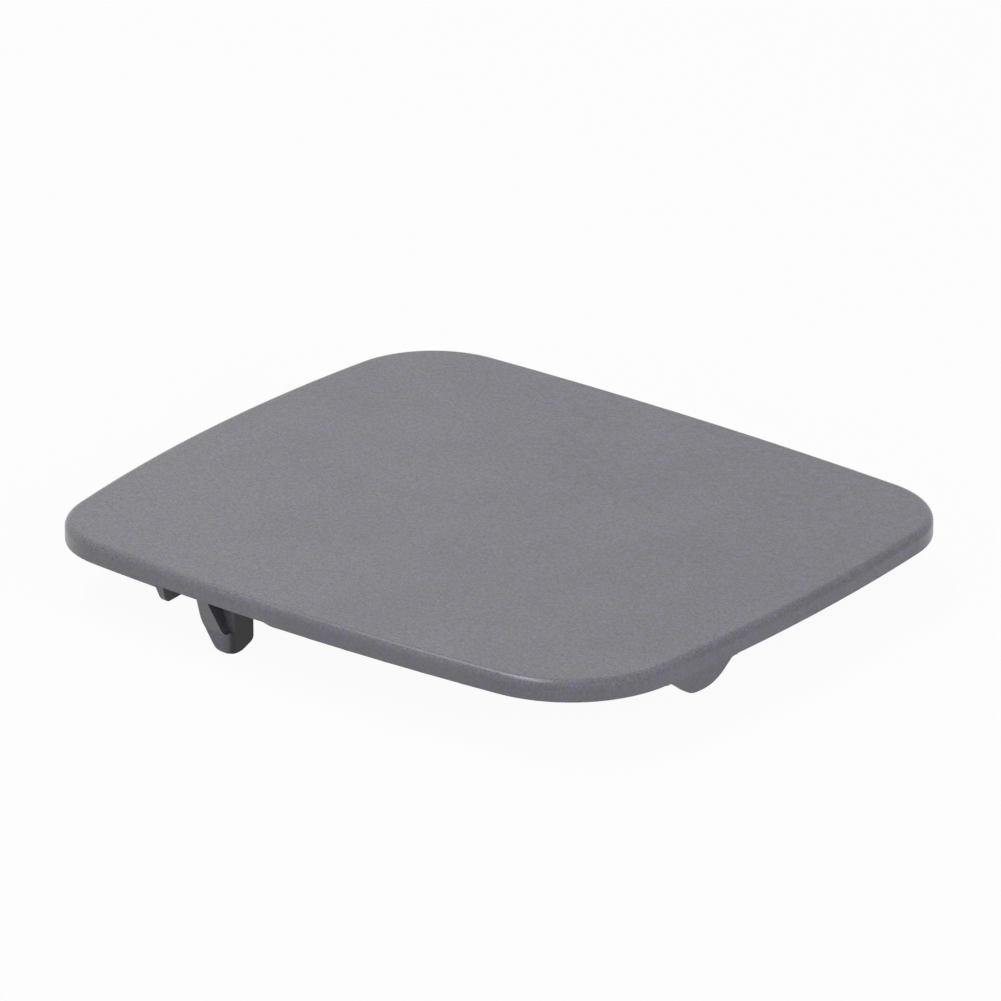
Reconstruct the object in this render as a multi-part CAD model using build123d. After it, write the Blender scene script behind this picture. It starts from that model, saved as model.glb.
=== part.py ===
from build123d import *
import os

# Snap-in cover for the tow hook opening of a bumper: one moulding, lying face up on the tips of its clips.
# All sizes in mm. While it is made, the face is at z = 0 and the near side's sharp corners lie on the X axis.

# Outline of the face: four bowed sides between sharp corners, which are then rounded
near_width = 84.0
far_width = 86.0
left_depth = 76.4
right_depth = 73.6
near_bow = 2.5
right_bow = 2.45
far_bow = 1.7
left_bow = 3.6
near_left_radius = 11.0
near_right_radius = 15.7
far_right_radius = 12.5
far_left_radius = 13.0

# Section of the cover. What hangs below the rim runs up into it by embed.
rim_height = 2.7
skin = 2.2
land_width = 3.2
face_edge_radius = 1.0
parting_edge_radius = 0.15
embed = 0.3

# Clips: depths and heights count down from the rim's underside, insets from the rim's outer edge. A front
# view runs past the bottom of its side view by view_margin.
clip_depth = 7.2
clip_width = 4.07
clip_inset = 1.2
nose_inset = 2.4
throat_height = 4.4
throat_depth = 1.1
throat_top = 2.45
throat_floor = 0.9
throat_corner_radius = 0.8
stem = 3.55
shoulder_height = 3.8
shoulder_radius = 3.8
nose_tip = 1.6
nose_tip_radius = 3.2
nose_front_rise = 0.25
nose_front_run = 1.3
nose_front_radius = 0.6
nose_back_rise = 0.85
nose_back_run = 2.15
nose_back_radius = 0.8
nose_sole_radius = 2.5
nose_corner_radius = 1.5
view_margin = 0.1

# Places of the clips, along each side from the sharp corner where it starts
near_clip_place = 28.95
far_clip_spacing = 54.0

# Small guide rib beside the near clip
guide_place = 19.6
guide_inset = 0.95
guide_lean = 0.5
guide_depth = 2.45
guide_rise = 0.4
guide_length = 4.9
guide_thickness = 1.45
guide_tip = 0.6
guide_tip_radius = 0.9
guide_side_radius = 0.5

# Rounded tongues on the right and left sides, flush with the rim
tongue_place = 19.3
tongue_depth = 2.5
tongue_root = 10.8
tongue_tip = 4.24
tongue_thickness = 0.95
tongue_near_radius = 3.4
tongue_far_radius = 6.6
tongue_root_radius = 1.0

# Shallow step in the rim's underside, which the mould's slide leaves around each clip
step_margin = 0.3
step_reach = 7.7
step_ramp = 1.4
step_height = 0.33

near_left = Vector(-near_width / 2, 0)
near_right = Vector(near_width / 2, 0)
far_right = Vector(far_width / 2, right_depth)
far_left = Vector(-far_width / 2, left_depth)


def bowed_side(start, end, bow):
    """An arc from start to end that stands outwards by bow, where the outline runs anticlockwise."""
    outwards = (end - start).normalized().rotate(Axis.Z, -90)
    return ThreePointArc(start, (start + end) / 2 + outwards * bow, end)


near_side = bowed_side(near_left, near_right, near_bow)
right_side = bowed_side(near_right, far_right, right_bow)
far_side = bowed_side(far_right, far_left, far_bow)
left_side = bowed_side(far_left, near_left, left_bow)


def face_outline(inset):
    """The face's outline, moved inwards by inset: what its four sides' discs share, with rounded corners."""
    outline = Pos(near_side.arc_center) * Circle(near_side.radius - inset)
    for side in (right_side, far_side, left_side):
        outline &= Pos(side.arc_center) * Circle(side.radius - inset)
    corners = [near_left, near_right, far_right, far_left]
    radii = [near_left_radius, near_right_radius, far_right_radius, far_left_radius]
    for corner, radius in zip(corners, radii):
        outline = fillet(outline.vertices().sort_by_distance(corner)[0], radius - inset)
    return outline


def side_frame(side, place):
    """Frame on a side's outer edge at the rim's underside: x along the side, y inwards, z up."""
    share = place / side.length
    return Plane(origin=side @ share - Vector(0, 0, rim_height), x_dir=side % share, z_dir=(0, 0, 1))


def shell():
    """The face with its rim, and a shallow recess at the back that leaves a flat land round the rim."""
    body = extrude(face_outline(0), -rim_height)
    body = fillet(body.edges().group_by(Axis.Z)[-1], face_edge_radius)
    body = fillet(body.edges().group_by(Axis.Z)[0], parting_edge_radius)
    recess = extrude(face_outline(land_width), -rim_height)
    return body - Pos(0, 0, -skin) * recess


def slide_step(width):
    """The step's cutter in a side's frame: width and a margin at the left, reach and a ramp at the right."""
    start = -width - step_margin
    end = step_reach + step_ramp
    profile = make_face(Polyline(
        (start, -rim_height), (end, -rim_height), (end, 0), (step_reach, step_height), (start, step_height),
        close=True))
    return extrude(Plane.XZ * profile, land_width + near_bow, both=True)


def hook_clip():
    """Claw in a side's frame, its right face at x = 0: a stem behind a throat, and a plate down to a nose.

    It is what a side view and a front view share, and the front view runs on past the side view's top, bottom
    and back. The nose's sole is flat, and rises to its front and its back. Its front right corner is rounded.
    """
    root = rim_height - skin + embed
    left = -clip_width
    stem_front = nose_inset + throat_depth
    back = stem_front + stem
    over = root + embed
    under = -clip_depth - view_margin
    side_view = make_face(FilletPolyline(
        (clip_inset, root), (clip_inset, 0), (nose_inset, -throat_height),
        (nose_inset, nose_front_rise - clip_depth), (nose_inset + nose_front_run, -clip_depth),
        (back - nose_back_run, -clip_depth), (back, nose_back_rise - clip_depth), (back, root),
        radius=[0, 0, 0, nose_front_radius, nose_sole_radius, nose_sole_radius, nose_back_radius, 0],
        close=True))
    front_view = make_face(FilletPolyline(
        (left, over), (left, -shoulder_height), (-nose_tip, under), (clip_width, under), (clip_width, over),
        radius=[0, shoulder_radius, nose_tip_radius, 0, 0], close=True))
    corner = Pos(0, nose_inset) * Rectangle(2 * nose_corner_radius, 2 * nose_corner_radius)
    corner -= Pos(-nose_corner_radius, nose_inset + nose_corner_radius) * Circle(nose_corner_radius)
    throat_view = make_face(FilletPolyline(
        (-throat_top, over), (-throat_top, 0), (-throat_floor, -throat_height),
        (clip_width, -throat_height), (clip_width, over),
        radius=[0, 0, throat_corner_radius, 0, 0], close=True))
    claw = extrude(Plane.YZ * side_view, 2 * left)
    claw &= extrude(Plane.XZ * front_view, -back - embed)
    claw -= extrude(Pos(0, 0, under) * corner, -throat_height - under)
    return claw - extrude(Plane.XZ * throat_view, -stem_front)


def guide_rib():
    """Thin rib that runs inwards from a side's edge, its right face at x = 0.

    It is what a side view and a front view share, and its left face leans in towards the tip.
    """
    root = rim_height - skin + embed
    back = guide_inset + guide_length
    over = root + embed
    under = -guide_depth - view_margin
    side_view = make_face(FilletPolyline(
        (guide_inset, root), (guide_inset, 0), (guide_inset + guide_lean, -guide_depth),
        (back, guide_rise - guide_depth), (back, root),
        radius=[0, 0, guide_tip_radius, 0, 0], close=True))
    front_view = make_face(FilletPolyline(
        (-guide_thickness, over), (-guide_thickness, 0), (-guide_tip, under),
        (guide_thickness, under), (guide_thickness, over),
        radius=[0, 0, guide_side_radius, 0, 0], close=True))
    return extrude(Plane.YZ * side_view, -2 * guide_thickness) & extrude(Plane.XZ * front_view, -back - embed)


def tongue(start_radius, end_radius):
    """Rounded tongue along a side, its middle at x = 0. Its corners are rounded as given, start first."""
    foot = tongue_root / 2
    tip = tongue_tip / 2
    flare = foot + tongue_root_radius
    profile = make_face(FilletPolyline(
        (-flare, embed), (-flare, 0), (-foot, 0), (-tip, -tongue_depth),
        (tip, -tongue_depth), (foot, 0), (flare, 0), (flare, embed),
        radius=[0, 0, tongue_root_radius, start_radius, end_radius, tongue_root_radius, 0, 0],
        close=True))
    return extrude(Plane.XZ * profile, tongue_thickness, both=True)


def cover():
    body = shell()
    near_frame = side_frame(near_side, near_clip_place)
    body -= near_frame * slide_step(near_clip_place - guide_place)
    body += near_frame * hook_clip()
    body += side_frame(near_side, guide_place) * guide_rib()
    for hand in (-1, 1):
        far_frame = side_frame(far_side, (far_side.length + hand * far_clip_spacing) / 2)
        body -= far_frame * slide_step(clip_width)
        body += far_frame * hook_clip()
    reach = extrude(face_outline(0), -rim_height - tongue_depth)
    right_frame = side_frame(right_side, tongue_place)
    left_frame = side_frame(left_side, left_side.length - tongue_place)
    body += reach & (right_frame * tongue(tongue_near_radius, tongue_far_radius))
    body += reach & (left_frame * tongue(tongue_far_radius, tongue_near_radius))
    return body


finished = cover()
box = finished.bounding_box()
tow_hook_cover = Pos(-box.center().X, -box.center().Y, -box.min.Z) * finished

os.makedirs("parts", exist_ok=True)
export_step(tow_hook_cover, "parts/tow_hook_cover.step")
print("cover", [round(v, 2) for v in tow_hook_cover.bounding_box().size])
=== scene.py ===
import bpy
import numpy as np
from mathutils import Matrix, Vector


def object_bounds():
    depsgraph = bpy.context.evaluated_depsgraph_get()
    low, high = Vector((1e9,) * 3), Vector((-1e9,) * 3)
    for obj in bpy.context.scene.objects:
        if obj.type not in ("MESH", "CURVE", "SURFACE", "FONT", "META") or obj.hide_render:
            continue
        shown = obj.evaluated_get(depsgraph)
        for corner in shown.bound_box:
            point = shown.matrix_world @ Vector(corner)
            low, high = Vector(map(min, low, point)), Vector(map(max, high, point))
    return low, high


# A sprayed cover for a bumper's tow hook opening, lying face up on the tips of its clips

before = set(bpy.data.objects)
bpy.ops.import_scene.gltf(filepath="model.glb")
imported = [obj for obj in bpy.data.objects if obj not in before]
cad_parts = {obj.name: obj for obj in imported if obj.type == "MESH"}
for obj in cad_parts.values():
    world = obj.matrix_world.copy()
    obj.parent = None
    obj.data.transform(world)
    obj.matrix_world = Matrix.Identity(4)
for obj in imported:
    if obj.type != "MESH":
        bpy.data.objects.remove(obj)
cadLow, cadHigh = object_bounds()
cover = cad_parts["tow_hook_cover"]
mm = 0.001


def toLinear(hexColour):
    # sRGB parts from 0 to 1, each turned linear by the sRGB curve, with full alpha
    parts = np.array([int(hexColour[i : i + 2], 16) for i in (1, 3, 5)]) / 255
    linear = np.where(parts <= 0.04045, parts / 12.92, ((parts + 0.055) / 1.055) ** 2.4)
    return (*linear.tolist(), 1.0)


def addNode(tree, kind, inputs, **settings):
    # An input given as a socket is linked, and any other is set
    node = tree.nodes.new("ShaderNode" + kind)
    for name, value in settings.items():
        setattr(node, name, value)
    for name, value in inputs.items():
        if isinstance(value, bpy.types.NodeSocket):
            tree.links.new(value, node.inputs[name])
        else:
            node.inputs[name].default_value = value
    return node


def newMaterial(name):
    # A material and its empty node tree
    material = bpy.data.materials.new(name)
    material.use_nodes = True
    material.node_tree.nodes.clear()
    return material, material.node_tree


# Where the spray gun reached: all over the face and the rim. Below the rim it covered what faces outwards
# near the rim's side, settled as dust on what looks up, and wrapped round the corners. The underside stayed
# bare.
spray = {
    "rimUnderside": 7.2 * mm,  # its height above the floor
    "rimLine": 0.02 * mm,  # half the height over which the full cover ends there
    "corners": ((-41.43, -37.24), (42.57, -37.24), (43.57, 36.36), (-42.43, 39.16)),  # mm, anticlockwise
    "bows": (2.5, 2.45, 1.7, 3.6),  # mm, how far the side after each corner stands out from a straight line
    "reach": 3.4 * mm,  # how far in from the rim's side the spray got
    "reachEdge": 0.3 * mm,  # the depth over which it thins out there
    "drifted": 0.7,  # the share of the paint that got further in than the reach
    "outwards": (0.3, 0.8),  # how squarely a face has to look outwards, from bare to covered
    "ragged": 0.05,  # by how much that varies at random
    "raggedGrain": 0.3 * mm,
    "upwards": (0.0, 0.5),  # how much a hidden face has to look up, from clean to dusted
    "dusted": 0.75,  # the share of the paint that settled there as dust
    "wrapped": 0.6,  # the share of the paint that wrapped round the corners, whichever way they face
    "wrapDepths": (1.4 * mm, 4.0 * mm),  # how far in the wrapped paint begins to fade, and where it ends
    "thinned": 0.88,  # the share of the paint that held below the rim at all
    "downwards": (-0.8, -0.5),  # the upright part of a face's normal, from bare underside to painted
}


def sideCircle(start, end, bow):
    # The circle through both corners that stands out by the bow. Its radius is the sum of the half chord
    # squared and the bow squared, by twice the bow.
    start, end = np.array(start) * mm, np.array(end) * mm
    bow = bow * mm
    half = np.linalg.norm(end - start) / 2
    radius = (half**2 + bow**2) / (2 * bow)
    along = (end - start) / (2 * half)
    outwards = np.array((along[1], -along[0]))
    centre = (start + end) / 2 + outwards * (bow - radius)
    return centre, radius


def addInset(tree, flat):
    # How far in from the rim's side a place lies: the least of the depths in the four sides' circles, where
    # each is the circle's radius less the distance from its centre
    starts = spray["corners"]
    inset = None
    for start, end, bow in zip(starts, starts[1:] + starts[:1], spray["bows"]):
        centre, radius = sideCircle(start, end, bow)
        away = addNode(tree, "VectorMath", {0: flat, 1: (*centre, 0)}, operation="DISTANCE").outputs["Value"]
        depth = addNode(tree, "Math", {0: radius, 1: away}, operation="SUBTRACT").outputs[0]
        if inset is None:
            inset = depth
        else:
            inset = addNode(tree, "Math", {0: inset, 1: depth}, operation="MINIMUM").outputs[0]
    return inset


def addSprayShare(tree, place, normal):
    # 1 where paint lies and 0 where the black plastic shows. Above the rim's underside it is 1. Below, it is
    # the greatest of three, times the share that held: facing times near, the dust, and the wrap. What looks
    # down gets none.
    flat = addNode(tree, "VectorMath", {0: place, 1: (1, 1, 0)}, operation="MULTIPLY").outputs[0]
    inset = addInset(tree, flat)

    # The cube of the place, made a unit vector, points out through the nearest side
    square = addNode(tree, "VectorMath", {0: flat, 1: flat}, operation="MULTIPLY").outputs[0]
    cube = addNode(tree, "VectorMath", {0: square, 1: flat}, operation="MULTIPLY").outputs[0]
    unit = addNode(tree, "VectorMath", {0: cube}, operation="NORMALIZE").outputs[0]
    facing = addNode(tree, "VectorMath", {0: unit, 1: normal}, operation="DOT_PRODUCT").outputs["Value"]
    grain = addNode(tree, "TexNoise", {"Vector": place, "Scale": 1 / spray["raggedGrain"], "Detail": 3.0})
    ragged = addNode(tree, "MapRange", {0: grain.outputs[0], 3: -spray["ragged"], 4: spray["ragged"]})
    facing = addNode(tree, "Math", {0: facing, 1: ragged.outputs[0]}, operation="ADD").outputs[0]
    bare, covered = spray["outwards"]
    facing = addNode(tree, "MapRange", {0: facing, 1: bare, 2: covered},
                     interpolation_type="SMOOTHSTEP").outputs[0]
    near = addNode(tree, "MapRange", {0: inset, 1: spray["reach"], 2: spray["reach"] - spray["reachEdge"],
                                      3: spray["drifted"], 4: 1.0}).outputs[0]
    below = addNode(tree, "Math", {0: facing, 1: near}, operation="MULTIPLY").outputs[0]

    slope = addNode(tree, "SeparateXYZ", {0: normal}).outputs[2]
    clean, dusty = spray["upwards"]
    dust = addNode(tree, "MapRange", {0: slope, 1: clean, 2: dusty, 3: 0.0, 4: spray["dusted"]}).outputs[0]
    below = addNode(tree, "Math", {0: below, 1: dust}, operation="MAXIMUM").outputs[0]

    fadeFrom, fadeTo = spray["wrapDepths"]
    wrap = addNode(tree, "MapRange", {0: inset, 1: fadeFrom, 2: fadeTo,
                                      3: spray["wrapped"], 4: 0.0}).outputs[0]
    below = addNode(tree, "Math", {0: below, 1: wrap}, operation="MAXIMUM").outputs[0]
    below = addNode(tree, "Math", {0: below, 1: spray["thinned"]}, operation="MULTIPLY").outputs[0]

    height = addNode(tree, "SeparateXYZ", {0: place}).outputs[2]
    above = addNode(tree, "MapRange", {0: height, 1: spray["rimUnderside"] - spray["rimLine"],
                                       2: spray["rimUnderside"] + spray["rimLine"]}).outputs[0]
    share = addNode(tree, "Math", {0: above, 1: below}, operation="MAXIMUM").outputs[0]
    bare, painted = spray["downwards"]
    notUnder = addNode(tree, "MapRange", {0: slope, 1: bare, 2: painted}, interpolation_type="SMOOTHSTEP")
    return addNode(tree, "Math", {0: share, 1: notUnder.outputs[0]}, operation="MULTIPLY").outputs[0]


# Grey primer sprayed on black moulded ABS. The primer gives the eye an even, cool grey with a dusty grain,
# faint violet clouds and a soft sheen, and the bare plastic a dark satin. The grain is drawn about three times
# as coarse as the real 0.05 to 0.1 mm, so that it shows in the render.
finish = {
    # Two primer colours, paler and darker. The mix between them is painted light falling off across the face,
    # varied by random clouds.
    "primerLitAndThick": "#7b797e",
    "primerShadedAndThin": "#6a6970",
    "paintedLightAcross": (0.6, 0.8, 0.0),  # the way the painted light falls off, from the near left corner to the far right one
    "paintedLitAt": -36 * mm,
    "paintedShadedAt": 36 * mm,
    "cloud": 12.0 * mm,
    "cloudRange": (0.3, 0.7),  # the part of the noise that is used
    "cloudShare": 0.25,  # by how much the clouds vary the thickness, up and down
    "primerViolet": "#76728a",
    "tint": 1.3 * mm,
    "tintRange": (0.42, 0.68),
    "tintShare": 0.55,
    "grain": 0.28 * mm,
    "grainRange": (0.25, 0.75),
    "faceContrast": 0.36,
    "sideContrast": 0.18,
    "bumpHeight": 0.003 * mm,
    "primerRoughness": (0.27, 0.33),
    "primerIor": 1.5,
    "plastic": "#2c2a2a",
    "plasticRoughness": (0.34, 0.46),
    "plasticIor": 1.4,
}


def makeSprayedPlastic():
    # A mix of bare plastic and primer by the spray's share
    material, tree = newMaterial("grey_primer_sprayed_on_moulded_abs")
    texture = addNode(tree, "TexCoord", {})
    place, normal = texture.outputs["Object"], texture.outputs["Normal"]
    share = addSprayShare(tree, place, normal)
    noises = {}
    for name, detail in (("grain", 2.0), ("cloud", 2.0), ("tint", 1.0)):
        noise = addNode(tree, "TexNoise", {"Vector": place, "Scale": 1 / finish[name], "Detail": detail})
        noises[name] = noise.outputs[0]
    grain = noises["grain"]

    # Painted light: the primer is paler at the near left corner and darker towards the far right one, standing
    # in for the light falling off across the face. The clouds vary it at random on top.
    across = addNode(tree, "VectorMath", {0: place, 1: finish["paintedLightAcross"]}, operation="DOT_PRODUCT")
    paintedFalloff = addNode(tree, "MapRange", {0: across.outputs["Value"],
                                        1: finish["paintedLitAt"], 2: finish["paintedShadedAt"]})
    low, high = finish["cloudRange"]
    drift = addNode(tree, "MapRange", {0: noises["cloud"], 1: low, 2: high,
                                       3: -finish["cloudShare"], 4: finish["cloudShare"]})
    paintedShadeAndClouds = addNode(tree, "Math", {0: paintedFalloff.outputs[0], 1: drift.outputs[0]},
                   operation="ADD", use_clamp=True)
    primer = addNode(tree, "Mix", {0: paintedShadeAndClouds.outputs[0], 6: toLinear(finish["primerLitAndThick"]),
                                   7: toLinear(finish["primerShadedAndThin"])}, data_type="RGBA").outputs[2]
    low, high = finish["tintRange"]
    tinted = addNode(tree, "MapRange", {0: noises["tint"], 1: low, 2: high, 3: 0.0, 4: finish["tintShare"]})
    primer = addNode(tree, "Mix", {0: tinted.outputs[0], 6: primer, 7: toLinear(finish["primerViolet"])},
                     data_type="RGBA").outputs[2]

    # The mist settled as a coarser grain on the face than on the upright sides
    slope = addNode(tree, "SeparateXYZ", {0: normal}).outputs[2]
    contrast = addNode(tree, "MapRange", {0: slope, 3: finish["sideContrast"], 4: finish["faceContrast"]})
    low, high = finish["grainRange"]
    spread = addNode(tree, "MapRange", {0: grain, 1: low, 2: high, 3: -1.0, 4: 1.0}).outputs[0]
    shade = addNode(tree, "Math", {0: spread, 1: contrast.outputs[0], 2: 1.0}, operation="MULTIPLY_ADD")
    primer = addNode(tree, "VectorMath", {0: primer, "Scale": shade.outputs[0]}, operation="SCALE")

    bump = addNode(tree, "Bump", {"Strength": 1.0, "Distance": finish["bumpHeight"], "Height": grain})
    surfaces = []
    for kind, colour in (("plastic", toLinear(finish["plastic"])), ("primer", primer.outputs[0])):
        low, high = finish[kind + "Roughness"]
        roughness = addNode(tree, "MapRange", {0: grain, 3: low, 4: high}).outputs[0]
        surface = addNode(tree, "BsdfPrincipled", {"Base Color": colour, "Roughness": roughness,
                                                   "IOR": finish[kind + "Ior"], "Normal": bump.outputs[0]})
        surfaces.append(surface.outputs[0])
    both = addNode(tree, "MixShader", {0: share, 1: surfaces[0], 2: surfaces[1]}).outputs[0]
    addNode(tree, "OutputMaterial", {"Surface": both})
    return material


print("material")
cover.data.materials.clear()
cover.data.materials.append(makeSprayedPlastic())

# The place is the photograph's: the camera stands off the near right corner, low and far away. The lens and
# the sensor are in mm, and the rest in metres.
camera = {
    "eye": (0.675976, -0.870077, 0.478452),
    "target": (-0.001825, 0.002734, 0.00995),
    "lens": 352.0,
    "sensor": 36.0,
    "clip": (0.01, 20.0),
}

print("camera")
cameraData = bpy.data.cameras.new("camera")
cameraData.lens = camera["lens"]
cameraData.sensor_width = camera["sensor"]
cameraData.clip_start, cameraData.clip_end = camera["clip"]
cameraObject = bpy.data.objects.new("camera", cameraData)
bpy.context.scene.collection.objects.link(cameraObject)
cameraObject.location = camera["eye"]
looking = Vector(camera["target"]) - Vector(camera["eye"])
cameraObject.rotation_mode = "QUATERNION"
cameraObject.rotation_quaternion = looking.to_track_quat("-Z", "Y")
bpy.context.scene.camera = cameraObject

# Soft studio light: a long, narrow softbox overhead, whose gleam lies on the rounded edge at the near right
# corner, two wide fills low in front, and a pale room all round. Each softbox has its place and its width
# and height in metres, its power in watts, and whether a gloss shows it.
light = {
    "softboxes": {
        "key": ((-0.33, -0.2, 1.18), (1.15, 0.22), 8.1, True),
        "left_fill": ((-0.153, -1.212, 0.445), (0.7, 0.7), 2.1, False),
        "right_fill": ((1.212, -0.153, 0.445), (0.7, 0.7), 5.5, False),
    },
    "roomStrength": 0.12,  # what the room gives to surfaces
    "roomSeen": 1.0,  # what the camera and glosses see of it, white
}


def addSoftbox(name, place, size, power, gleams):
    # A rectangular lamp that looks at the middle of the floor
    lamp = bpy.data.lights.new(name, "AREA")
    lamp.shape = "RECTANGLE"
    lamp.size, lamp.size_y = size
    lamp.energy = power
    lampObject = bpy.data.objects.new(name, lamp)
    bpy.context.scene.collection.objects.link(lampObject)
    lampObject.location = place
    lampObject.visible_glossy = gleams
    lampObject.rotation_mode = "QUATERNION"
    lampObject.rotation_quaternion = (-Vector(place)).to_track_quat("-Z", "Y")


def addSeenDirectly(tree):
    # 1 for a ray from the camera, off a gloss or through glass, and 0 for the rays that light a surface
    path = addNode(tree, "LightPath", {}).outputs
    sharp = addNode(tree, "Math", {0: path["Is Glossy Ray"], 1: path["Is Transmission Ray"]},
                    operation="MAXIMUM").outputs[0]
    return addNode(tree, "Math", {0: path["Is Camera Ray"], 1: sharp}, operation="MAXIMUM").outputs[0]


print("light")
for name, values in light["softboxes"].items():
    addSoftbox(name, *values)

world = bpy.data.worlds.new("pale_room")
bpy.context.scene.world = world
world.use_nodes = True
room = world.node_tree
room.nodes.clear()
seen = addSeenDirectly(room)
strength = addNode(room, "MapRange", {0: seen, 3: light["roomStrength"], 4: light["roomSeen"]}).outputs[0]
walls = addNode(room, "Background", {"Color": (1, 1, 1, 1), "Strength": strength}).outputs[0]
addNode(room, "OutputWorld", {"Surface": walls})

# A sheet of smooth white paper without a pattern, nearly lost in the white room. It shows a faint shadow.
sheet = {
    "half": 3.0,  # metres
    "paper": "#f2f2f2",
    "shaded": 0.05,  # how much of what is seen is lit paper, and the rest glows white
}

print("floor")
floorCorners = [(x * sheet["half"], y * sheet["half"], 0) for x, y in ((-1, -1), (1, -1), (1, 1), (-1, 1))]
floorMesh = bpy.data.meshes.new("floor")
floorMesh.from_pydata(floorCorners, [], [(0, 1, 2, 3)])
floor = bpy.data.objects.new("floor", floorMesh)
bpy.context.scene.collection.objects.link(floor)
floor.location.z = cadLow.z
floorMaterial, tree = newMaterial("matt_white_paper")
paper = addNode(tree, "BsdfDiffuse", {"Color": toLinear(sheet["paper"])}).outputs[0]
glow = addNode(tree, "Emission", {"Strength": 1.0}).outputs[0]
glowShare = addNode(tree, "Math", {0: addSeenDirectly(tree), 1: 1 - sheet["shaded"]}, operation="MULTIPLY")
surface = addNode(tree, "MixShader", {0: glowShare.outputs[0], 1: paper, 2: glow}).outputs[0]
addNode(tree, "OutputMaterial", {"Surface": surface})
floorMesh.materials.append(floorMaterial)

bpy.context.scene.view_settings.view_transform = "Standard"
